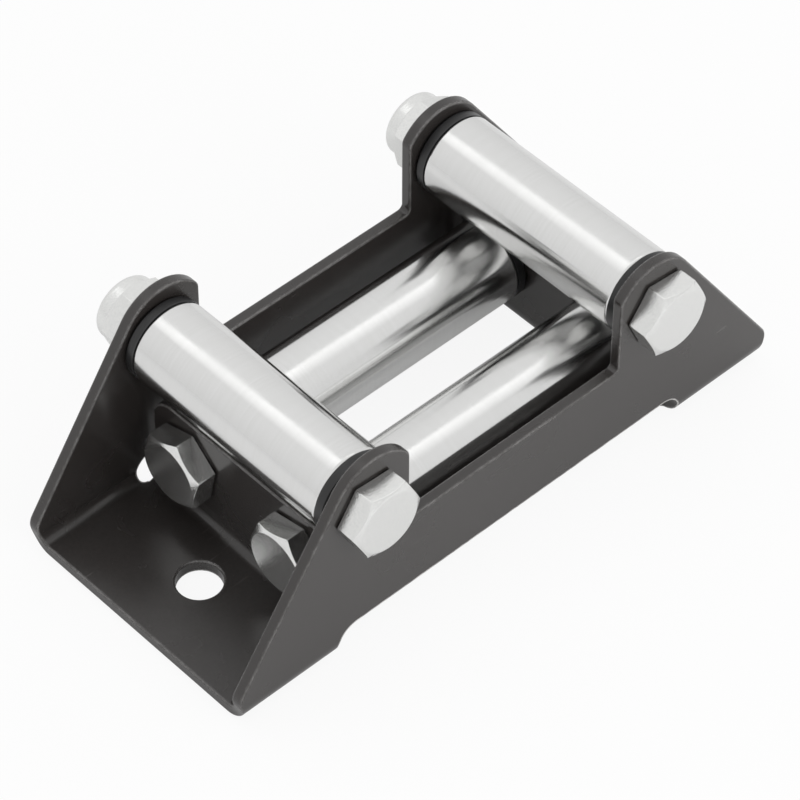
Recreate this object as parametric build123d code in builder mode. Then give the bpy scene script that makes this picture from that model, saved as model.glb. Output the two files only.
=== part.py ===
# Four-roller fairlead on a folded sheet frame, in millimetres.
# X runs along the frame, Y across it, Z up from the mounting face.
# The origin is midway between the two mounting holes, on the mounting face.
import os
from math import acos, atan2, cos, hypot, radians, sin, sqrt, tan

from build123d import *

os.makedirs("parts", exist_ok=True)

# Sheet and folds, and the round on the edges of the sheet
sheet = 3.0
bend_radius = 2.5
frame_width = 71.0
edge_round = 0.6

# Mounting holes, and how far the ends and the tabs stand from them
mount_spacing = 123.8
mount_hole_d = 10.8
hole_to_end = 18.4
hole_to_tab = 13.3

# Rollers and their bushes
roller_d = 21.0
roller_wall = 2.5
roller_edge = 0.8
bush_flange = 2.5
bush_flange_edge = 0.5
bush_sleeve = 12.0
sleeve_gap = 0.02
running_gap = 0.08
side_gap = 0.4

# Where the four rollers lie: cross roller axes inside the tabs, long rollers clear of the
# flanges and of the mounting face, cross rollers clear of the long ones below
cross_inset = 2.2
long_side_gap = 4.2
roller_floor = 7.9
roller_step = 3.9

# Ears and web of the two flanges
# The round of an ear is struck from a point above its bolt hole and nearer the middle.
ear_radius = 12.0
ear_lift = 1.5
ear_inset = 1.5
ear_side = 11.75
ear_shoulder_round = 2.5
ear_foot_round = 1.2
web_rise = 11.8

# Noses at the ends of the flanges, standing out past the ends of the floor
nose_reach = 1.05
nose_height = 7.8
nose_round = 4.5
nose_foot_round = 12.0

# Tabs that carry the long rollers
tab_rise = 11.6
tab_corner = 6.5

# Relief slots along the folds, beside the tabs
slot_top = 8.5
slot_reach = 1.5
slot_corner = 5.4

# Bolts
bolt_d = 10.0
bolt_hole_gap = 0.2
head_across_flats = 17.0
head_height = 6.4
head_step = 0.4
head_step_d = 15.8
bolt_end_chamfer = 0.9
bolt_stick_out = 1.5

# Lock nuts and the nylon rings in their collars
nut_across_flats = 17.0
nut_height = 10.0
nut_hex_height = 6.4
nut_collar_d = 16.2
nut_collar_round = 1.6
nut_lip = 0.6
nut_lip_reach = 0.5
ring_d = 13.0
ring_height = 2.3
ring_gap = 0.05
thread_gap = 0.05

# Corners of heads and nuts are cut by a cone at this angle, in degrees
corner_cut_angle = 30.0
corner_cut_share = 0.95

# Turn of each head and nut about its own axis, in degrees
turn_cross_left_head = -3.6
turn_cross_right_head = -5.3
turn_long_front_head = 12.7
turn_long_back_head = 18.0
turn_cross_left_nut = 9.0
turn_cross_right_nut = 24.0
turn_long_front_nut = 21.0
turn_long_back_nut = 5.0

# Places that follow from the sizes above
floor_length = mount_spacing + 2 * hole_to_end
half_inside = frame_width / 2 - sheet
tab_half_width = half_inside - bend_radius
tab_outer_x = mount_spacing / 2 - hole_to_tab
tab_inner_x = tab_outer_x - sheet
fold_x = tab_outer_x + bend_radius
roller_bore = roller_d - 2 * roller_wall
cross_axis_x = tab_inner_x - cross_inset
long_axis_y = half_inside - long_side_gap - roller_d / 2
long_axis_z = roller_floor + roller_d / 2
cross_axis_z = long_axis_z + roller_d + roller_step
slot_end_x = fold_x + slot_reach
tab_top = long_axis_z + tab_rise
web_top = long_axis_z + web_rise
ear_x = cross_axis_x - ear_inset
ear_z = cross_axis_z + ear_lift
ear_top = ear_z + ear_radius
ear_foot_x = cross_axis_x - ear_side
ear_shoulder_z = ear_z + sqrt(ear_radius**2 - (ear_x - ear_foot_x) ** 2)
nose_x = floor_length / 2 + nose_reach
cross_half = half_inside - side_gap - bush_flange
long_half = tab_inner_x - side_gap - bush_flange

# Point where the sloping edge of a flange touches the round of its ear
run = nose_x - ear_x
fall = nose_height - ear_z
touch = atan2(fall, run) + acos(ear_radius / hypot(run, fall))
touch_point = (ear_x + ear_radius * cos(touch), ear_z + ear_radius * sin(touch))

# Relief slot, as the solid that cuts it
# It runs the length between the folds, out through the bend and up into the flange. Its ends
# are rounded in the flange and again where they meet the edge of the tab.
with BuildPart() as relief:
    with BuildSketch(Plane.XZ.offset(-frame_width)) as relief_side:
        Rectangle(2 * slot_end_x, 2 * slot_top)
        fillet(relief_side.vertices().group_by(Axis.Y)[-1], radius=slot_corner)
    extrude(amount=frame_width)
    with BuildSketch(Plane.XY.offset(-slot_top)) as relief_plan:
        with Locations((0, tab_half_width + frame_width / 2)):
            Rectangle(2 * slot_end_x, frame_width)
        fillet(relief_plan.vertices().group_by(Axis.Y)[0], radius=slot_reach)
    extrude(amount=2 * slot_top, mode=Mode.INTERSECT)
    mirror(about=Plane.XZ)

# Tab: folded up from the floor at the right, its top corners and its edges rounded
with BuildPart() as tab:
    with BuildSketch(Plane.XZ.offset(-tab_half_width)):
        with BuildLine():
            FilletPolyline(
                (slot_end_x, sheet / 2),
                (tab_inner_x + sheet / 2, sheet / 2),
                (tab_inner_x + sheet / 2, tab_top),
                radius=bend_radius + sheet / 2,
            )
        trace(line_width=sheet)
    extrude(amount=2 * tab_half_width)
    tab_corners = tab.edges().filter_by(Axis.X).group_by(Axis.Z)[-1]
    fillet(tab_corners, radius=tab_corner)
    tab_sides = tab.edges().filter_by(Axis.Z).group_by(SortBy.LENGTH)[-1]
    fillet(tab_sides, radius=edge_round)

# Frame: one folded sheet
# The floor and both flanges share one section with two bends. The side outline gives the
# flanges their ears and sloping ends, and the floor is opened between the two upright tabs.
with BuildPart() as frame:
    with BuildSketch(Plane.YZ.offset(-nose_x)):
        with BuildLine():
            FilletPolyline(
                (-frame_width / 2 + sheet / 2, ear_top),
                (-frame_width / 2 + sheet / 2, sheet / 2),
                (frame_width / 2 - sheet / 2, sheet / 2),
                (frame_width / 2 - sheet / 2, ear_top),
                radius=bend_radius + sheet / 2,
            )
        trace(line_width=sheet)
    extrude(amount=2 * nose_x)

    # Side outline: an ear over each cross roller, sloping to a low nose at the end
    with BuildSketch(Plane.XZ.offset(-frame_width / 2)) as outline:
        with BuildLine():
            Polyline(
                (ear_foot_x, ear_shoulder_z),
                (ear_foot_x, 0),
                (floor_length / 2, 0),
                (floor_length / 2, sheet),
                (nose_x, nose_height),
                touch_point,
            )
            ThreePointArc(touch_point, (ear_x, ear_top), (ear_foot_x, ear_shoulder_z))
        make_face()
        with Locations((ear_foot_x / 2, web_top / 2)):
            Rectangle(ear_foot_x, web_top)
        fillet(outline.vertices().sort_by(Axis.X)[-1], radius=nose_round)
        at_floor = outline.vertices().filter_by_position(Axis.Y, sheet - 0.01, sheet + 0.01)
        fillet(at_floor.sort_by(Axis.X)[-1], radius=nose_foot_round)
        at_web = outline.vertices().filter_by_position(Axis.Y, web_top - 0.01, web_top + 0.01)
        fillet(at_web.sort_by(Axis.X)[-1], radius=ear_foot_round)
        shoulder = outline.vertices().filter_by_position(Axis.X, 0, ear_foot_x + 0.01)
        fillet(shoulder.sort_by(Axis.Y)[-1], radius=ear_shoulder_round)
        mirror(about=Plane.YZ)
    extrude(amount=frame_width, mode=Mode.INTERSECT)

    # The edges of the sheet are rounded all the way round it. The lines where the bends
    # start lie within the skins and are left out.
    bend_lines = frame.edges().filter_by(Axis.X).filter_by_position(Axis.Z, 0, web_top / 2)
    rims = frame.edges() - frame.edges().filter_by(Axis.Y) - bend_lines
    fillet(rims, radius=edge_round)

    # Mounting holes, rounded at their upper rims and left full where they meet the mount
    with BuildSketch(Plane.XY):
        with Locations((-mount_spacing / 2, 0), (mount_spacing / 2, 0)):
            Circle(mount_hole_d / 2)
    extrude(amount=sheet, mode=Mode.SUBTRACT)
    hole_rims = frame.edges(Select.LAST).filter_by(GeomType.CIRCLE)
    fillet(hole_rims.group_by(Axis.Z)[-1], radius=edge_round)

    # Opening in the floor between the two folds, as wide as the tabs cut from it
    with BuildSketch(Plane.XY):
        Rectangle(2 * fold_x, 2 * tab_half_width)
    extrude(amount=sheet, mode=Mode.SUBTRACT)

    # Tabs at both ends, and the relief slots beside them
    add(tab.part)
    add(mirror(tab.part, about=Plane.YZ, mode=Mode.PRIVATE))
    add(relief.part, mode=Mode.SUBTRACT)

    # Holes: cross bolts through the ears, long bolts through the tabs
    with BuildSketch(Plane.XZ.offset(-frame_width / 2)):
        with Locations((-cross_axis_x, cross_axis_z), (cross_axis_x, cross_axis_z)):
            Circle(bolt_d / 2 + bolt_hole_gap)
    extrude(amount=frame_width, mode=Mode.SUBTRACT)
    with BuildSketch(Plane.YZ.offset(-tab_outer_x)):
        with Locations((-long_axis_y, long_axis_z), (long_axis_y, long_axis_z)):
            Circle(bolt_d / 2 + bolt_hole_gap)
    extrude(amount=2 * tab_outer_x, mode=Mode.SUBTRACT)

frame.part.label = "frame"
export_step(frame.part, "parts/frame.step")


def along(seat):
    """Plane through the axis of a seat plane, its own Y running along that axis."""
    return Plane(seat.origin, x_dir=seat.x_dir, z_dir=-seat.y_dir)


def roller_tube(middle, half_length):
    """Steel tube centred on the plane, its end edges rounded outside."""
    with BuildPart() as tube:
        with BuildSketch(middle.offset(-half_length)):
            Circle(roller_d / 2)
        extrude(amount=2 * half_length)
        fillet(tube.edges().filter_by(GeomType.CIRCLE), radius=roller_edge)
        with BuildSketch(middle.offset(-half_length)):
            Circle(roller_bore / 2)
        extrude(amount=2 * half_length, mode=Mode.SUBTRACT)
    return tube


def flanged_bush(seat):
    """Bush with its flange against the tube end and its sleeve inside the tube."""
    with BuildPart() as bush:
        with BuildSketch(seat):
            Circle(roller_d / 2)
        extrude(amount=bush_flange)
        outer_rim = bush.edges().sort_by(Axis(seat.origin, seat.z_dir))[-1]
        chamfer(outer_rim, length=bush_flange_edge)
        with BuildSketch(seat):
            Circle(roller_bore / 2 - sleeve_gap)
        extrude(amount=-bush_sleeve)
        with BuildSketch(seat.offset(-bush_sleeve)):
            Circle(bolt_d / 2 + running_gap)
        extrude(amount=bush_sleeve + bush_flange, mode=Mode.SUBTRACT)
    return bush


def hex_bolt(seat, shank_length, turn):
    """Bolt whose head stands on the plane and whose shank runs down from it."""
    corner_r = head_across_flats / sqrt(3) + 1
    face_r = head_across_flats * corner_cut_share / 2
    drop = (corner_r - face_r) * tan(radians(corner_cut_angle))
    with BuildPart() as bolt:
        with BuildSketch(seat.offset(head_step)):
            RegularPolygon(head_across_flats / 2, 6, major_radius=False, rotation=turn)
        extrude(amount=head_height - head_step)
        with BuildSketch(along(seat)):
            with BuildLine():
                Polyline(
                    (0, head_step),
                    (corner_r, head_step),
                    (corner_r, head_height - drop),
                    (face_r, head_height),
                    (0, head_height),
                    close=True,
                )
            make_face()
        revolve(axis=Axis(seat.origin, seat.z_dir), mode=Mode.INTERSECT)
        with BuildSketch(seat):
            Circle(head_step_d / 2)
        extrude(amount=head_step)
        with BuildSketch(seat):
            Circle(bolt_d / 2)
        extrude(amount=-shank_length)
        shank_end = bolt.edges().sort_by(Axis(seat.origin, seat.z_dir))[0]
        chamfer(shank_end, length=bolt_end_chamfer)
    return bolt


def lock_nut(seat, turn):
    """Nut standing on the plane, with a crimped collar over the room for its nylon ring."""
    corner_r = nut_across_flats / sqrt(3) + 1
    face_r = nut_across_flats * corner_cut_share / 2
    drop = (corner_r - face_r) * tan(radians(corner_cut_angle))
    ring_top = nut_height - nut_lip
    with BuildPart() as nut:
        with BuildSketch(seat):
            RegularPolygon(nut_across_flats / 2, 6, major_radius=False, rotation=turn)
        extrude(amount=nut_hex_height)
        with BuildSketch(along(seat)):
            with BuildLine():
                Polyline(
                    (0, 0),
                    (face_r, 0),
                    (corner_r, drop),
                    (corner_r, nut_hex_height - drop),
                    (face_r, nut_hex_height),
                    (0, nut_hex_height),
                    close=True,
                )
            make_face()
        revolve(axis=Axis(seat.origin, seat.z_dir), mode=Mode.INTERSECT)
        with BuildSketch(seat):
            Circle(nut_collar_d / 2)
        extrude(amount=nut_height)
        collar_rim = nut.edges().sort_by(Axis(seat.origin, seat.z_dir))[-1]
        fillet(collar_rim, radius=nut_collar_round)
        with BuildSketch(seat):
            Circle(bolt_d / 2 + thread_gap)
        extrude(amount=nut_height, mode=Mode.SUBTRACT)
        with BuildSketch(seat.offset(ring_top)):
            Circle(ring_d / 2)
        extrude(amount=-ring_height - ring_gap, mode=Mode.SUBTRACT)
        with BuildSketch(seat.offset(ring_top)):
            Circle(ring_d / 2 - nut_lip_reach)
        extrude(amount=nut_lip, mode=Mode.SUBTRACT)
    return nut


def nylon_ring(seat):
    """Ring held under the lip of a lock nut that stands on the plane."""
    with BuildPart() as ring:
        with BuildSketch(seat.offset(nut_height - nut_lip)):
            Circle(ring_d / 2 - ring_gap)
            Circle(bolt_d / 2 + thread_gap, mode=Mode.SUBTRACT)
        extrude(amount=-ring_height)
    return ring


# The two cross rollers turn between the ears, above the ends of the long rollers
# Heads lie against the front flange and nuts against the back one.
for side, axis_x, head_turn, nut_turn in (
    ("left", -cross_axis_x, turn_cross_left_head, turn_cross_left_nut),
    ("right", cross_axis_x, turn_cross_right_head, turn_cross_right_nut),
):
    middle = Plane((axis_x, 0, cross_axis_z), x_dir=(1, 0, 0), z_dir=(0, -1, 0))
    opposite = Plane((axis_x, 0, cross_axis_z), x_dir=(1, 0, 0), z_dir=(0, 1, 0))

    roller = roller_tube(middle, cross_half)
    roller.part.label = f"roller_cross_{side}"
    export_step(roller.part, f"parts/roller_cross_{side}.step")

    front_bush = flanged_bush(middle.offset(cross_half))
    front_bush.part.label = f"bush_cross_{side}_front"
    export_step(front_bush.part, f"parts/bush_cross_{side}_front.step")

    back_bush = flanged_bush(opposite.offset(cross_half))
    back_bush.part.label = f"bush_cross_{side}_back"
    export_step(back_bush.part, f"parts/bush_cross_{side}_back.step")

    under_head = frame_width + nut_height + bolt_stick_out
    bolt = hex_bolt(middle.offset(frame_width / 2), under_head, head_turn)
    bolt.part.label = f"bolt_cross_{side}"
    export_step(bolt.part, f"parts/bolt_cross_{side}.step")

    nut = lock_nut(opposite.offset(frame_width / 2), nut_turn)
    nut.part.label = f"nut_cross_{side}"
    export_step(nut.part, f"parts/nut_cross_{side}.step")

    ring = nylon_ring(opposite.offset(frame_width / 2))
    ring.part.label = f"ring_cross_{side}"
    export_step(ring.part, f"parts/ring_cross_{side}.step")

# The two long rollers turn between the tabs
# Heads lie in the left end of the frame and nuts in the right end.
for side, axis_y, head_turn, nut_turn in (
    ("front", -long_axis_y, turn_long_front_head, turn_long_front_nut),
    ("back", long_axis_y, turn_long_back_head, turn_long_back_nut),
):
    middle = Plane((0, axis_y, long_axis_z), x_dir=(0, -1, 0), z_dir=(-1, 0, 0))
    opposite = Plane((0, axis_y, long_axis_z), x_dir=(0, 1, 0), z_dir=(1, 0, 0))

    roller = roller_tube(middle, long_half)
    roller.part.label = f"roller_long_{side}"
    export_step(roller.part, f"parts/roller_long_{side}.step")

    left_bush = flanged_bush(middle.offset(long_half))
    left_bush.part.label = f"bush_long_{side}_left"
    export_step(left_bush.part, f"parts/bush_long_{side}_left.step")

    right_bush = flanged_bush(opposite.offset(long_half))
    right_bush.part.label = f"bush_long_{side}_right"
    export_step(right_bush.part, f"parts/bush_long_{side}_right.step")

    under_head = 2 * tab_outer_x + nut_height + bolt_stick_out
    bolt = hex_bolt(middle.offset(tab_outer_x), under_head, head_turn)
    bolt.part.label = f"bolt_long_{side}"
    export_step(bolt.part, f"parts/bolt_long_{side}.step")

    nut = lock_nut(opposite.offset(tab_outer_x), nut_turn)
    nut.part.label = f"nut_long_{side}"
    export_step(nut.part, f"parts/nut_long_{side}.step")

    ring = nylon_ring(opposite.offset(tab_outer_x))
    ring.part.label = f"ring_long_{side}"
    export_step(ring.part, f"parts/ring_long_{side}.step")
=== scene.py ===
import math

import bpy
from mathutils import Euler, Matrix, Vector


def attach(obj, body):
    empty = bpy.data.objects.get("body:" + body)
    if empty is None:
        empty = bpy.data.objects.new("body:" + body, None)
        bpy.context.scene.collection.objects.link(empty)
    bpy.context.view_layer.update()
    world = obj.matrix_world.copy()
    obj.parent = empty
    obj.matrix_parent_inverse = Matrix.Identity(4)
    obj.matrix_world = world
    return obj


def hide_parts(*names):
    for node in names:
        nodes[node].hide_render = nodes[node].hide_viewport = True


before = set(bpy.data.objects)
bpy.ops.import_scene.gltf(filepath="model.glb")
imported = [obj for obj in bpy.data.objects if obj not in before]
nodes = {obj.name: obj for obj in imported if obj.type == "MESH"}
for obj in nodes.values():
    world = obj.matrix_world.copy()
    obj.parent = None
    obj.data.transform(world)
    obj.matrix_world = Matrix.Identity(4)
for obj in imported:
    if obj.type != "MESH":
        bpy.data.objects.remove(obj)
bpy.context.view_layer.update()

scene = bpy.context.scene
scene.view_settings.view_transform = "Standard"


# Frame
# One 3 mm steel sheet: cut, folded to a floor with two flanges, with two tabs stood up out
# of the floor, then finished all over in satin black powder coat.
def new_group(name, inputs, outputs):
    """An empty node group with its named inputs and outputs, and its two end nodes."""
    group = bpy.data.node_groups.new(name, "ShaderNodeTree")
    for way, labels in (("INPUT", inputs), ("OUTPUT", outputs)):
        for label in labels:
            kind = "NodeSocketVector" if label == "Place" else "NodeSocketFloat"
            group.interface.new_socket(name=label, in_out=way, socket_type=kind)
    return group, group.nodes.new("NodeGroupInput"), group.nodes.new("NodeGroupOutput")


def add_node(tree, kind, values=(), **settings):
    """A node in a tree, with its settings and the values of its named sockets."""
    node = tree.nodes.new(kind)
    for key, value in settings.items():
        setattr(node, key, value)
    for key, value in dict(values).items():
        node.inputs[key].default_value = value
    return node


def place_group(tree, group, values):
    """A group placed in a material with that material's own values."""
    return add_node(tree, "ShaderNodeGroup", values, node_tree=group)


def wire(tree, *links):
    """Wires a tree: each link runs from a node's output to another node's input."""
    for source, output, target, entry in links:
        tree.links.new(source.outputs[output], target.inputs[entry])


def new_finish(name, values):
    """A material with its Principled shader, whose plain values are set on its own sockets."""
    finish = bpy.data.materials.new(name)
    finish.use_nodes = True
    shader = finish.node_tree.nodes["Principled BSDF"]
    for key, value in values.items():
        shader.inputs[key].default_value = value
    return finish, finish.node_tree, shader


# Fine grain of a sprayed, moulded or plated skin: a soft pebble with a finer one on it
finer_by = 3.1
grain, grain_in, grain_out = new_group(
    "skin_grain", ("Pebbles per Metre", "Fine Share"), ("Height", "Shade")
)
place = add_node(grain, "ShaderNodeTexCoord")
pebble = add_node(grain, "ShaderNodeTexNoise", {"Detail": 2.0, "Roughness": 0.5})
finer = add_node(grain, "ShaderNodeTexNoise", {"Detail": 1.0, "Roughness": 0.5})
times = add_node(grain, "ShaderNodeMath", {1: finer_by}, operation="MULTIPLY")
blend = add_node(grain, "ShaderNodeMix", data_type="FLOAT")
spread = add_node(grain, "ShaderNodeMapRange", {"From Min": 0.35, "From Max": 0.65})
wire(
    grain,
    (place, "Object", pebble, "Vector"),
    (place, "Object", finer, "Vector"),
    (grain_in, "Pebbles per Metre", pebble, "Scale"),
    (grain_in, "Pebbles per Metre", times, 0),
    (times, 0, finer, "Scale"),
    (grain_in, "Fine Share", blend, "Factor"),
    (pebble, "Fac", blend, "A"),
    (finer, "Fac", blend, "B"),
    (blend, "Result", grain_out, "Height"),
    (blend, "Result", spread, "Value"),
    (spread, "Result", grain_out, "Shade"),
)

# Worn and highlit edges: the convex edges of a piece, found from inside it and broken up by a
# noise. On the powder coat this mask lightens the arrises, partly as rubbed paint and partly as a
# painted highlight. Least and Most say how sharp an edge is where the rubbing starts and where it
# is full.
rubbed, rubbed_in, rubbed_out = new_group(
    "rubbed_and_highlit_edges", ("Reach", "Least", "Most", "Breaks per Metre"), ("Rubbed and Highlit",)
)
inner = add_node(rubbed, "ShaderNodeAmbientOcclusion", samples=8, inside=True, only_local=True)
flip = add_node(rubbed, "ShaderNodeMath", {0: 1.0}, operation="SUBTRACT")
sharp = add_node(rubbed, "ShaderNodeMapRange")
place = add_node(rubbed, "ShaderNodeTexCoord")
breaks = add_node(rubbed, "ShaderNodeTexNoise", {"Detail": 3.0, "Roughness": 0.6})
patchy = add_node(
    rubbed, "ShaderNodeMapRange", {"From Min": 0.36, "From Max": 0.62, "To Min": 0.45}
)
joined = add_node(rubbed, "ShaderNodeMath", operation="MULTIPLY", use_clamp=True)
wire(
    rubbed,
    (rubbed_in, "Reach", inner, "Distance"),
    (inner, "AO", flip, 1),
    (place, "Object", breaks, "Vector"),
    (rubbed_in, "Breaks per Metre", breaks, "Scale"),
    (breaks, "Fac", patchy, "Value"),
    (flip, 0, sharp, "Value"),
    (rubbed_in, "Least", sharp, "From Min"),
    (rubbed_in, "Most", sharp, "From Max"),
    (sharp, "Result", joined, 0),
    (patchy, "Result", joined, 1),
    (joined, 0, rubbed_out, "Rubbed and Highlit"),
)

# Handling: wide faint smudges that dull or polish a surface a little
handled, handled_in, handled_out = new_group("handling_marks", ("Marks per Metre",), ("Dull",))
place = add_node(handled, "ShaderNodeTexCoord")
wide = add_node(
    handled, "ShaderNodeTexNoise", {"Detail": 4.0, "Roughness": 0.55, "Distortion": 0.6}
)
even = add_node(handled, "ShaderNodeMapRange", {"From Min": 0.3, "From Max": 0.7})
wire(
    handled,
    (place, "Object", wide, "Vector"),
    (handled_in, "Marks per Metre", wide, "Scale"),
    (wide, "Fac", even, "Value"),
    (even, "Result", handled_out, "Dull"),
)

# Fine scratches: short thin lines in two directions, only where a wide noise allows them
two_ways = ((0.2, 0.5, 0.7), (0.6, -0.4, -0.5))
drawn_out = (0.30, 3.0, 3.0)
scratched, scratched_in, scratched_out = new_group(
    "fine_scratches", ("Lines per Metre", "Places per Metre"), ("Scratched",)
)
place = add_node(scratched, "ShaderNodeTexCoord")
where = add_node(scratched, "ShaderNodeTexNoise", {"Detail": 1.0})
allow = add_node(scratched, "ShaderNodeMapRange", {"From Min": 0.54, "From Max": 0.64})
both = add_node(scratched, "ShaderNodeMath", operation="MAXIMUM")
kept = add_node(scratched, "ShaderNodeMath", operation="MULTIPLY")
for number, turned in enumerate(two_ways):
    lay = add_node(scratched, "ShaderNodeMapping", {"Rotation": turned, "Scale": drawn_out})
    line = add_node(scratched, "ShaderNodeTexNoise", {"Detail": 1.0, "Distortion": 0.2})
    thin = add_node(scratched, "ShaderNodeMapRange", {"From Min": 0.71, "From Max": 0.78})
    wire(
        scratched,
        (place, "Object", lay, "Vector"),
        (lay, "Vector", line, "Vector"),
        (scratched_in, "Lines per Metre", line, "Scale"),
        (line, "Fac", thin, "Value"),
        (thin, "Result", both, number),
    )
wire(
    scratched,
    (place, "Object", where, "Vector"),
    (scratched_in, "Places per Metre", where, "Scale"),
    (where, "Fac", allow, "Value"),
    (both, 0, kept, 0),
    (allow, "Result", kept, 1),
    (kept, 0, scratched_out, "Scratched"),
)

# The coat itself, thinned to a lighter grey where a scratch runs. Along the sharp edges the same
# grey is partly rubbed paint and partly a painted highlight on the arris.
coat_deep = (0.0275, 0.0242, 0.0228, 1)
coat_pale = (0.0320, 0.0282, 0.0265, 1)
coat_worn_and_edge_highlight = (0.50, 0.49, 0.48, 1)
scratch_strength = 0.05
powder, tree, shader = new_finish("satin_black_powder_coat", {"IOR": 1.62})
scores = place_group(tree, scratched, {"Lines per Metre": 300.0, "Places per Metre": 45.0})
light = add_node(tree, "ShaderNodeMath", {1: scratch_strength}, operation="MULTIPLY")
bared_and_highlit = add_node(tree, "ShaderNodeMath", operation="MAXIMUM")
skin = place_group(tree, grain, {"Pebbles per Metre": 1500.0, "Fine Share": 0.35})
# Edge mask for the coat: partly rubbed paint, partly a painted highlight along the arrises
wear_and_edge_highlight = place_group(
    tree, rubbed, {"Reach": 0.0006, "Least": 0.12, "Most": 0.24, "Breaks per Metre": 380.0}
)
marks = place_group(tree, handled, {"Marks per Metre": 55.0})
tone = add_node(tree, "ShaderNodeMix", {"A": coat_deep, "B": coat_pale}, data_type="RGBA")
thin = add_node(tree, "ShaderNodeMix", {"B": coat_worn_and_edge_highlight}, data_type="RGBA")
gloss = add_node(tree, "ShaderNodeMapRange", {"To Min": 0.21, "To Max": 0.29})
polish = add_node(tree, "ShaderNodeMix", {"B": 0.30}, data_type="FLOAT")
peel = add_node(tree, "ShaderNodeBump", {"Strength": 0.22, "Distance": 0.00003})
wire(
    tree,
    (skin, "Shade", tone, "Factor"),
    (tone, "Result", thin, "A"),
    (scores, "Scratched", light, 0),
    (light, 0, bared_and_highlit, 0),
    (wear_and_edge_highlight, "Rubbed and Highlit", bared_and_highlit, 1),
    (bared_and_highlit, 0, thin, "Factor"),
    (thin, "Result", shader, "Base Color"),
    (marks, "Dull", gloss, "Value"),
    (gloss, "Result", polish, "A"),
    (wear_and_edge_highlight, "Rubbed and Highlit", polish, "Factor"),
    (polish, "Result", shader, "Roughness"),
    (skin, "Height", peel, "Height"),
    (peel, "Normal", shader, "Normal"),
)
nodes["frame"].material_slots[0].material = powder


# Rollers
# Four lengths of bright steel tube, ground and polished round the outside, with the ends
# turned square and their corners eased. The finest grinding marks run round each tube.
ground, ground_in, ground_out = new_group(
    "grinding_marks", ("Place", "Marks per Metre"), ("Height", "Shade")
)
lines = add_node(ground, "ShaderNodeTexNoise", {"Detail": 3.0, "Roughness": 0.65})
even = add_node(ground, "ShaderNodeMapRange", {"From Min": 0.3, "From Max": 0.7})
wire(
    ground,
    (ground_in, "Place", lines, "Vector"),
    (ground_in, "Marks per Metre", lines, "Scale"),
    (lines, "Fac", ground_out, "Height"),
    (lines, "Fac", even, "Value"),
    (even, "Result", ground_out, "Shade"),
)

# Bright steel, in two finishes that differ only in the axis that their marks run round
steel_deep = (0.775, 0.775, 0.765, 1)
steel_pale = (0.805, 0.805, 0.80, 1)
drawn_round = 0.02
for run, axis, squeeze, tubes in (
    ("across", "Y", (drawn_round, 1.0, drawn_round), ("roller_cross_left", "roller_cross_right")),
    ("along", "X", (1.0, drawn_round, drawn_round), ("roller_long_front", "roller_long_back")),
):
    tube, tree, shader = new_finish(
        "ground_steel_tube_" + run,
        {"Metallic": 1.0, "Anisotropic": 0.85, "Anisotropic Rotation": 0.25},
    )
    place = add_node(tree, "ShaderNodeTexCoord")
    stretch = add_node(tree, "ShaderNodeMapping", {"Scale": squeeze})
    marks = place_group(tree, ground, {"Marks per Metre": 2600.0})
    smears = place_group(tree, handled, {"Marks per Metre": 70.0})
    tone = add_node(tree, "ShaderNodeMix", {"A": steel_deep, "B": steel_pale}, data_type="RGBA")
    gloss = add_node(tree, "ShaderNodeMapRange", {"To Min": 0.13, "To Max": 0.18})
    scored = add_node(tree, "ShaderNodeBump", {"Strength": 0.10, "Distance": 0.00001})
    round_it = add_node(tree, "ShaderNodeTangent", direction_type="RADIAL", axis=axis)
    wire(
        tree,
        (round_it, "Tangent", shader, "Tangent"),
        (place, "Object", stretch, "Vector"),
        (stretch, "Vector", marks, "Place"),
        (marks, "Shade", tone, "Factor"),
        (tone, "Result", shader, "Base Color"),
        (smears, "Dull", gloss, "Value"),
        (gloss, "Result", shader, "Roughness"),
        (marks, "Height", scored, "Height"),
        (scored, "Normal", shader, "Normal"),
    )
    for name in tubes:
        nodes[name].material_slots[0].material = tube


# Bushes
# Eight flanged bushes moulded in black nylon, pressed into the tube ends by their sleeves.
# The skin is faintly grained by the mould and rubbed brighter at the flange's rim.
nylon_black = (0.012, 0.012, 0.0125, 1)
nylon_rubbed = (0.045, 0.045, 0.047, 1)
nylon, tree, shader = new_finish("black_nylon", {"IOR": 1.53})
skin = place_group(tree, grain, {"Pebbles per Metre": 3500.0, "Fine Share": 0.2})
wear_and_edge_highlight = place_group(
    tree, rubbed, {"Reach": 0.0007, "Least": 0.10, "Most": 0.80, "Breaks per Metre": 500.0}
)
marks = place_group(tree, handled, {"Marks per Metre": 150.0})
tone = add_node(
    tree, "ShaderNodeMix", {"A": nylon_black, "B": nylon_rubbed}, data_type="RGBA"
)
gloss = add_node(tree, "ShaderNodeMapRange", {"To Min": 0.30, "To Max": 0.42})
peel = add_node(tree, "ShaderNodeBump", {"Strength": 0.15, "Distance": 0.00001})
wire(
    tree,
    (wear_and_edge_highlight, "Rubbed and Highlit", tone, "Factor"),
    (tone, "Result", shader, "Base Color"),
    (marks, "Dull", gloss, "Value"),
    (gloss, "Result", shader, "Roughness"),
    (skin, "Height", peel, "Height"),
    (peel, "Normal", shader, "Normal"),
)
for name in nodes:
    if name.startswith("bush_"):
        nodes[name].material_slots[0].material = nylon


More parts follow.
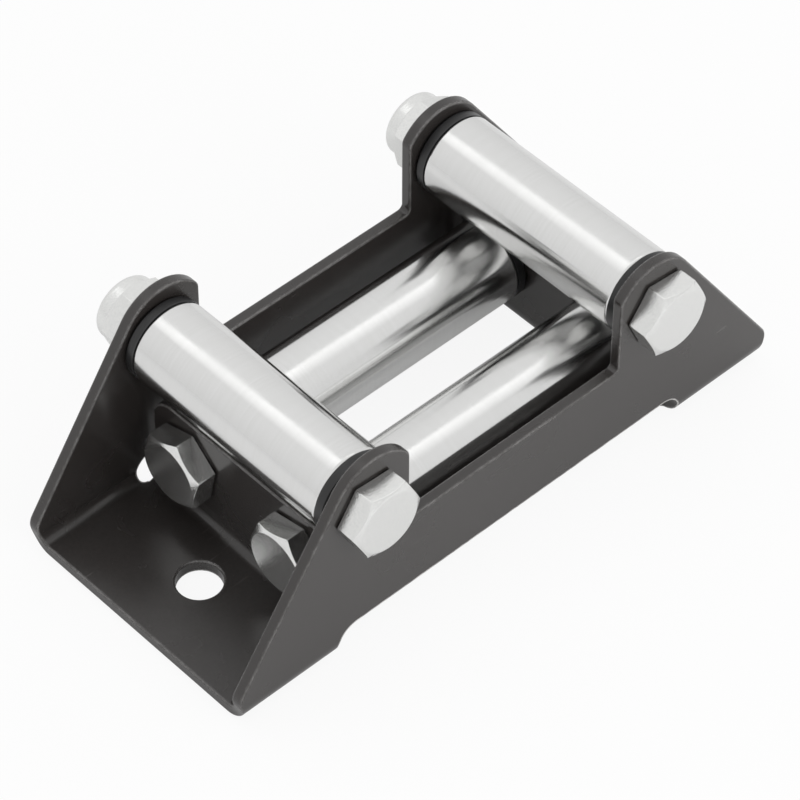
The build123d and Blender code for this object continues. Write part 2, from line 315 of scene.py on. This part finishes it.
# Hex bolts
# Four M10 hex bolts of bright zinc-plated steel, cold headed, with the corners of the head
# cut by a cone, a washer face under it and a rolled thread at the end that takes the nut.
mm = 0.001
across_flats = 17 * mm
head_height = 6.4 * mm
washer_step = 0.4 * mm
washer_face = 7.9 * mm
washer_chamfer = 0.15 * mm
let_in = 0.3 * mm
shank = 5 * mm
under_head = 82.5 * mm
thread_length = 15 * mm
thread_pitch = 1.5 * mm
thread_root = 4.1 * mm
thread_crest = 0.2 * mm
thread_valley = 0.3 * mm
thread_turns = 11
run_out = 0.6 * mm
end_chamfer = 0.9 * mm
head_ease = 0.18 * mm
hexagon = 6
corner = across_flats / math.sqrt(3)
cone_foot = corner + 1 * mm
cone_angle = math.radians(30)
face_disc = 7.854 * mm
cone_drop = (cone_foot - face_disc) * math.tan(cone_angle)
blank_sides = 120
stem_sides = 64
turn_steps = 36
sharp_over = math.radians(25)
smooth_under = math.radians(30)
smooth_eased = math.radians(35)
touching = 0.001 * mm


def pull(rise, spread=1.0):
    """Extrudes the chosen face along the axis by the rise, and widens or narrows it."""
    bpy.ops.mesh.extrude_region_move(TRANSFORM_OT_translate={"value": (0, 0, rise)})
    bpy.ops.transform.resize(value=(spread, spread, 1), center_override=(0, 0, 0))


def start(name, sides, radius, height):
    """A filled disc with that many sides, at its height on the axis, open for shaping."""
    bpy.ops.mesh.primitive_circle_add(
        vertices=sides, radius=radius, fill_type="NGON", location=(0, 0, height)
    )
    piece = bpy.context.active_object
    piece.name = name
    bpy.ops.object.transform_apply(location=True, rotation=True, scale=True)
    bpy.ops.object.mode_set(mode="EDIT")
    bpy.ops.mesh.select_mode(type="VERT")
    bpy.ops.mesh.select_all(action="SELECT")
    return piece


def close():
    """Ends the shaping of the open piece: doubles merged, faces turned outwards."""
    bpy.ops.mesh.select_all(action="SELECT")
    bpy.ops.mesh.remove_doubles(threshold=touching)
    bpy.ops.mesh.normals_make_consistent(inside=False)
    bpy.ops.object.mode_set(mode="OBJECT")


def take(piece):
    """Makes a piece the only one chosen, so that the next steps work on it."""
    bpy.ops.object.select_all(action="DESELECT")
    bpy.context.view_layer.objects.active = piece
    piece.select_set(True)


def cut(piece, tool, how):
    """Joins, cuts or trims a piece by a tool solid, which is then thrown away."""
    take(piece)
    step = piece.modifiers.new("cut", "BOOLEAN")
    step.operation = how
    step.solver = "EXACT"
    step.object = tool
    bpy.ops.object.modifier_apply(modifier=step.name)
    bpy.data.objects.remove(tool)


def ease(piece, width):
    """Eases the sharp edges all over a piece and keeps its flats flat."""
    take(piece)
    soften = piece.modifiers.new("ease", "BEVEL")
    soften.width = width
    soften.segments = 3
    soften.limit_method = "ANGLE"
    soften.angle_limit = sharp_over
    bpy.ops.object.modifier_apply(modifier=soften.name)
    bpy.ops.object.shade_smooth_by_angle(angle=smooth_eased)
    flats = piece.modifiers.new("flats", "WEIGHTED_NORMAL")
    flats.keep_sharp = True
    bpy.ops.object.modifier_apply(modifier=flats.name)


# Head: a hexagon trimmed by a turned blank with its top edge coned
head = start("bolt", hexagon, corner, washer_step)
pull(head_height)
close()
blank = start("blank", blank_sides, cone_foot, 0)
pull(head_height - cone_drop)
pull(cone_drop, face_disc / cone_foot)
close()
cut(head, blank, "INTERSECT")
ease(head, head_ease)

# Washer face, let into the head, and plain shank, down to where the thread runs out
washer_foot = washer_face - washer_chamfer
stem = start("stem", stem_sides, washer_foot, 0)
pull(washer_chamfer, washer_face / washer_foot)
pull(washer_step + let_in)
bpy.ops.mesh.select_all(action="DESELECT")
bpy.ops.object.mode_set(mode="OBJECT")
for face in stem.data.polygons:
    face.select = face.center.z < touching and face.normal.z < -0.9
bpy.ops.object.mode_set(mode="EDIT")
bpy.ops.mesh.select_mode(type="FACE")
pull(0, shank / washer_foot)
pull(-(under_head - thread_length))
pull(-run_out, thread_root / shank)
close()

# Thread: the outline of one turn, drawn on from a single point and wound up the axis
wound = start("wound", 4, touching, 0)
bpy.ops.mesh.merge(type="CENTER")
bpy.ops.transform.translate(value=(thread_root, 0, 0))
flank = (thread_pitch - thread_crest - thread_valley) / 2
for out, up in (
    (0, thread_valley),
    (shank - thread_root, flank),
    (0, thread_crest),
    (thread_root - shank, flank),
):
    bpy.ops.mesh.extrude_vertices_move(TRANSFORM_OT_translate={"value": (out, 0, up)})
bpy.ops.object.mode_set(mode="OBJECT")
turns = wound.modifiers.new("turns", "SCREW")
turns.axis = "Z"
turns.screw_offset = thread_pitch
turns.iterations = thread_turns
turns.steps = turn_steps
turns.render_steps = turn_steps
turns.use_merge_vertices = True
turns.merge_threshold = touching
bpy.ops.object.modifier_apply(modifier=turns.name)
bpy.ops.object.mode_set(mode="EDIT")
bpy.ops.mesh.select_mode(type="EDGE")
bpy.ops.mesh.select_all(action="SELECT")
bpy.ops.mesh.remove_doubles(threshold=touching)

# Both open ends of the winding are closed by a fan of faces to their middle
halfway = thread_turns * thread_pitch / 2
for lower in (True, False):
    bpy.ops.mesh.select_all(action="DESELECT")
    bpy.ops.mesh.select_non_manifold()
    bpy.ops.object.mode_set(mode="OBJECT")
    for vertex in wound.data.vertices:
        if (vertex.co.z < halfway) != lower:
            vertex.select = False
    for edge in wound.data.edges:
        edge.select = edge.select and all(wound.data.vertices[v].select for v in edge.vertices)
    bpy.ops.object.mode_set(mode="EDIT")
    bpy.ops.mesh.extrude_edges_move(TRANSFORM_OT_translate={"value": (0, 0, 0)})
    bpy.ops.mesh.merge(type="CENTER")
close()
take(wound)
wound.location = (0, 0, -under_head - thread_pitch)
bpy.ops.object.transform_apply(location=True, rotation=True, scale=True)

# The winding is trimmed to the thread's length with a coned point, and joined to the rest
point_foot = shank - end_chamfer
point = start("point", stem_sides, point_foot, -under_head)
pull(end_chamfer, shank / point_foot)
pull(thread_length - end_chamfer)
close()
cut(wound, point, "INTERSECT")
bpy.ops.object.shade_smooth_by_angle(angle=smooth_under)
take(stem)
bpy.ops.object.shade_smooth_by_angle(angle=smooth_under)
take(head)
wound.select_set(True)
stem.select_set(True)
bpy.ops.object.join()

# Bright zinc plate: a clear silver skin, a little uneven, and whitest at the rubbed corners
zinc_deep = (0.80, 0.805, 0.795, 1)
zinc_pale = (0.88, 0.88, 0.865, 1)
zinc_rubbed = (0.90, 0.90, 0.89, 1)
zinc, tree, shader = new_finish("bright_zinc_plate", {"Metallic": 0.95})
skin = place_group(tree, grain, {"Pebbles per Metre": 2000.0, "Fine Share": 0.5})
wear_and_edge_highlight = place_group(
    tree, rubbed, {"Reach": 0.0006, "Least": 0.05, "Most": 0.80, "Breaks per Metre": 700.0}
)
marks = place_group(tree, handled, {"Marks per Metre": 220.0})
tone = add_node(tree, "ShaderNodeMix", {"A": zinc_deep, "B": zinc_pale}, data_type="RGBA")
bare = add_node(tree, "ShaderNodeMix", {"B": zinc_rubbed}, data_type="RGBA")
gloss = add_node(tree, "ShaderNodeMapRange", {"To Min": 0.10, "To Max": 0.18})
peel = add_node(tree, "ShaderNodeBump", {"Strength": 0.50, "Distance": 0.00010})
wire(
    tree,
    (skin, "Shade", tone, "Factor"),
    (tone, "Result", bare, "A"),
    (wear_and_edge_highlight, "Rubbed and Highlit", bare, "Factor"),
    (bare, "Result", shader, "Base Color"),
    (marks, "Dull", gloss, "Value"),
    (gloss, "Result", shader, "Roughness"),
    (skin, "Height", peel, "Height"),
    (peel, "Normal", shader, "Normal"),
)
head.data.materials.clear()
head.data.materials.append(zinc)

# The bolts come in from the front flange and from the left tab, each turned as it was left
# when tightened. Those of the long rollers are of the same pattern, with a longer shank.
flat_up = 30
mid_shank = -50 * mm


def set_down(pattern, node, body, at, faces, turn, longer):
    """A copy of a fastener with its axis turned to face a side, put where its node lies."""
    piece = pattern.copy()
    piece.data = pattern.data.copy()
    piece.name = node + "_made"
    scene.collection.objects.link(piece)
    for vertex in piece.data.vertices:
        if vertex.co.z < mid_shank:
            vertex.co.z -= longer
    across = Vector(faces[0])
    out = Vector(faces[1])
    side = out.cross(across)
    lie = Matrix((across, side, out)).transposed().to_4x4()
    tightened = Matrix.Rotation(math.radians(turn + flat_up), 4, "Z")
    piece.matrix_world = Matrix.Translation(Vector(at)) @ lie @ tightened
    take(piece)
    bpy.ops.object.transform_apply(location=True, rotation=True, scale=True)
    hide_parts(node)
    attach(piece, body)


flange_face = 35.5 * mm
tab_face = 48.6 * mm
cross_x, cross_z = 43.4 * mm, 43.3 * mm
long_y, long_z = 17.8 * mm, 18.4 * mm
long_extra = 26.2 * mm
to_front = ((1, 0, 0), (0, -1, 0))
to_left = ((0, -1, 0), (-1, 0, 0))
for node, at, faces, turn, longer in (
    ("bolt_cross_left", (-cross_x, -flange_face, cross_z), to_front, -3.6, 0),
    ("bolt_cross_right", (cross_x, -flange_face, cross_z), to_front, -5.3, 0),
    ("bolt_long_front", (-tab_face, -long_y, long_z), to_left, 12.7, long_extra),
    ("bolt_long_back", (-tab_face, long_y, long_z), to_left, 18.0, long_extra),
):
    set_down(head, node, "frame", at, faces, turn, longer)
bpy.data.objects.remove(head)


# Lock nuts
# Four zinc-plated lock nuts: a hexagon with both faces coned, and a round collar whose rim
# is spun over the nylon ring. Each is run up until the bolt stands just proud of it.
nut_hex = 6.4 * mm
nut_height = 10 * mm
collar = 8.1 * mm
collar_round = 1.6 * mm
bore = 5.05 * mm
ring_room = 6.5 * mm
ring_floor = 7.05 * mm
lip_under = 9.4 * mm
lip_bore = 6.0 * mm
nut_ease = 0.14 * mm
collar_foot = 0.5 * mm
collar_sides = 96
spin_steps = 8
past = 1 * mm

# Hexagon, coned at both faces by a turned blank
nut = start("nut", hexagon, corner, -past)
pull(nut_hex + 2 * past)
close()
blank = start("blank", blank_sides, face_disc, 0)
pull(cone_drop, cone_foot / face_disc)
pull(nut_hex - 2 * cone_drop)
pull(cone_drop, face_disc / cone_foot)
close()
cut(nut, blank, "INTERSECT")

# Collar, spun over in a quarter round
cap = start("cap", collar_sides, collar, nut_hex - collar_foot)
pull(nut_height - collar_round - nut_hex + collar_foot)
bend = [math.radians(90 * step / spin_steps) for step in range(spin_steps + 1)]
for before, after in zip(bend, bend[1:]):
    wide = collar - collar_round + collar_round * math.cos(before)
    narrow = collar - collar_round + collar_round * math.cos(after)
    pull(collar_round * (math.sin(after) - math.sin(before)), narrow / wide)
close()
cut(nut, cap, "UNION")

# Bore, room for the ring and the hole that the rim leaves
drill = start("drill", collar_sides, bore, -past)
pull(ring_floor + past)
pull(0, ring_room / bore)
pull(lip_under - ring_floor)
pull(0, lip_bore / ring_room)
pull(2 * past)
close()
cut(nut, drill, "DIFFERENCE")
ease(nut, nut_ease)
nut.data.materials.clear()
nut.data.materials.append(zinc)

to_back = ((1, 0, 0), (0, 1, 0))
to_right = ((0, 1, 0), (1, 0, 0))
for node, at, faces, turn in (
    ("nut_cross_left", (-cross_x, flange_face, cross_z), to_back, 9.0),
    ("nut_cross_right", (cross_x, flange_face, cross_z), to_back, 24.0),
    ("nut_long_front", (tab_face, -long_y, long_z), to_right, 21.0),
    ("nut_long_back", (tab_face, long_y, long_z), to_right, 5.0),
):
    set_down(nut, node, "frame", at, faces, turn, 0)
bpy.data.objects.remove(nut)


# Nylon rings
# One plain ring of white nylon in each lock nut, dropped into the collar before its rim is
# spun over. The bolt cuts its own thread in it, so that the nut can't shake loose.
ring_deep = (0.66, 0.67, 0.65, 1)
ring_pale = (0.74, 0.74, 0.72, 1)
white, tree, shader = new_finish("white_nylon", {"IOR": 1.53})
skin = place_group(tree, grain, {"Pebbles per Metre": 4000.0, "Fine Share": 0.2})
marks = place_group(tree, handled, {"Marks per Metre": 300.0})
tone = add_node(tree, "ShaderNodeMix", {"A": ring_deep, "B": ring_pale}, data_type="RGBA")
gloss = add_node(tree, "ShaderNodeMapRange", {"To Min": 0.35, "To Max": 0.5})
peel = add_node(tree, "ShaderNodeBump", {"Strength": 0.15, "Distance": 0.00001})
wire(
    tree,
    (marks, "Dull", tone, "Factor"),
    (tone, "Result", shader, "Base Color"),
    (marks, "Dull", gloss, "Value"),
    (gloss, "Result", shader, "Roughness"),
    (skin, "Height", peel, "Height"),
    (peel, "Normal", shader, "Normal"),
)
for name in nodes:
    if name.startswith("ring_"):
        nodes[name].material_slots[0].material = white


# Floor and lamps
# A plain white table in an evenly lit white room. One long soft lamp hangs above and behind
# the object, brightest along its far side, and a wide one fills the front.
table_size = 6
table_drop = 0.2 * mm
seen_white = 0.90
mirrored_white = 0.25
bpy.ops.mesh.primitive_plane_add(size=table_size, location=(0, 0, -table_drop))
table = bpy.context.active_object
table.name = "table"

# White paper: matt in the room's light, evened out to nearly plain white for the camera, and
# lifted a little where the metal mirrors it
paper = bpy.data.materials.new("white_table")
paper.use_nodes = True
tree = paper.node_tree
tree.nodes.remove(tree.nodes["Principled BSDF"])
out = tree.nodes["Material Output"]
matt = add_node(tree, "ShaderNodeBsdfDiffuse", {"Color": (0.84, 0.84, 0.84, 1)})
plain = add_node(tree, "ShaderNodeEmission", {"Color": (1, 1, 1, 1), "Strength": 1.0})
soft = add_node(tree, "ShaderNodeEmission", {"Color": (1, 1, 1, 1), "Strength": 0.86})
path = add_node(tree, "ShaderNodeLightPath")
seen = add_node(tree, "ShaderNodeMath", {1: seen_white}, operation="MULTIPLY")
mirrored = add_node(tree, "ShaderNodeMath", {1: mirrored_white}, operation="MULTIPLY")
first = add_node(tree, "ShaderNodeMixShader")
second = add_node(tree, "ShaderNodeMixShader")
wire(
    tree,
    (path, "Is Camera Ray", seen, 0),
    (path, "Is Glossy Ray", mirrored, 0),
    (mirrored, 0, first, "Fac"),
    (matt, 0, first, 1),
    (soft, 0, first, 2),
    (seen, 0, second, "Fac"),
    (first, 0, second, 1),
    (plain, 0, second, 2),
    (second, 0, out, "Surface"),
)
table.data.materials.append(paper)

# The room, plain white behind the object and a little brighter overhead than at the sides
room = bpy.data.worlds.new("white_room")
scene.world = room
room.use_nodes = True
tree = room.node_tree
around = tree.nodes["World Output"]
sky = tree.nodes["Background"]
sky.inputs["Color"].default_value = (1, 1, 1, 1)
beyond = add_node(tree, "ShaderNodeBackground", {"Color": (1, 1, 1, 1), "Strength": 1.0})
path = add_node(tree, "ShaderNodeLightPath")
either = add_node(tree, "ShaderNodeMixShader")
wire(
    tree,
    (path, "Is Camera Ray", either, "Fac"),
    (sky, 0, either, 1),
    (beyond, 0, either, 2),
    (either, 0, around, "Surface"),
)
aim = add_node(tree, "ShaderNodeTexCoord")
parts = add_node(tree, "ShaderNodeSeparateXYZ")
lift = add_node(
    tree, "ShaderNodeMapRange", {"From Min": 0.0, "From Max": 0.7, "To Min": 0.77, "To Max": 0.86}
)
wire(
    tree,
    (aim, "Generated", parts, "Vector"),
    (parts, "Z", lift, "Value"),
    (lift, "Result", sky, "Strength"),
)

# The long lamp hangs across the line of sight in four strips. They share a far edge and hang
# a little above one another, so that their light adds up towards that edge.
lamp_height = 0.92
lamp_length = 1.5
far_edge = 0.441
strip_rise = 0.004


def hang(name, place, turned, wide, deep, radiance):
    """A soft area lamp of that brightness, seen by the object and not by the camera."""
    lamp = bpy.data.lights.new(name, "AREA")
    lamp.shape = "RECTANGLE"
    lamp.size = wide
    lamp.size_y = deep
    lamp.energy = radiance * math.pi * wide * deep
    hung = bpy.data.objects.new(name, lamp)
    scene.collection.objects.link(hung)
    hung.location = place
    hung.rotation_euler = turned
    hung.visible_camera = False
    return hung


# Away is the way that the camera looks, laid flat on the table
away = Vector((0.4635, 0.4950, 0)).normalized()
square_on = math.atan2(away.y, away.x) - math.pi / 2
for number, near_edge, radiance in (
    (1, 0.090, 0.09),
    (2, 0.162, 0.11),
    (3, 0.234, 0.16),
    (4, 0.333, 0.18),
):
    up = Vector((0, 0, lamp_height + strip_rise * number))
    middle = away * (far_edge + near_edge) / 2 + up
    deep = far_edge - near_edge
    hang(f"strip_{number}", middle, (0, 0, square_on), lamp_length, deep, radiance)

# The lamp's black edge, which the bright metal mirrors as a thin dark line
edge_width = 0.018
edge_black = (0.02, 0.02, 0.02, 1)
bpy.ops.mesh.primitive_plane_add(size=1, location=(0, 0, 0))
edge = bpy.context.active_object
edge.name = "lamp_edge"
edge.scale = (lamp_length, edge_width, 1)
edge.rotation_euler = (0, 0, square_on)
edge.location = away * (far_edge + edge_width / 2) + Vector((0, 0, lamp_height))
edge.visible_camera = False
edge.visible_diffuse = False
edge.visible_shadow = False
dark = bpy.data.materials.new("lamp_edge_black")
dark.use_nodes = True
dark.node_tree.nodes["Principled BSDF"].inputs["Base Color"].default_value = edge_black
edge.data.materials.append(dark)

# A wide fill lamp in front of the near flange, which the metal doesn't mirror
fill_from = Vector((0.10, -1.00, 0.50))
fill_turn = (-fill_from).to_track_quat("-Z", "Y").to_euler()
fill = hang("front_fill", fill_from, fill_turn, wide=0.7, deep=0.6, radiance=3.0)
fill.visible_glossy = False


# Camera
# It stands where the photograph was taken from, about a metre off to the front left and
# above, with a long lens, as worked out from the edges of the frame and the rollers.
stand = Vector((-0.443514, -0.472041, 0.718148))
tilt = math.radians(42.69594)
roll = math.radians(-0.19695)
heading = math.radians(-42.90300)
lens = bpy.data.cameras.new("photo_view")
lens.sensor_width = 36.0
lens.lens = 190.83
lens.clip_end = 10
eye = bpy.data.objects.new("photo_view", lens)
scene.collection.objects.link(eye)
eye.matrix_world = Matrix.LocRotScale(stand, Euler((tilt, roll, heading), "XYZ"), None)
scene.camera = eye
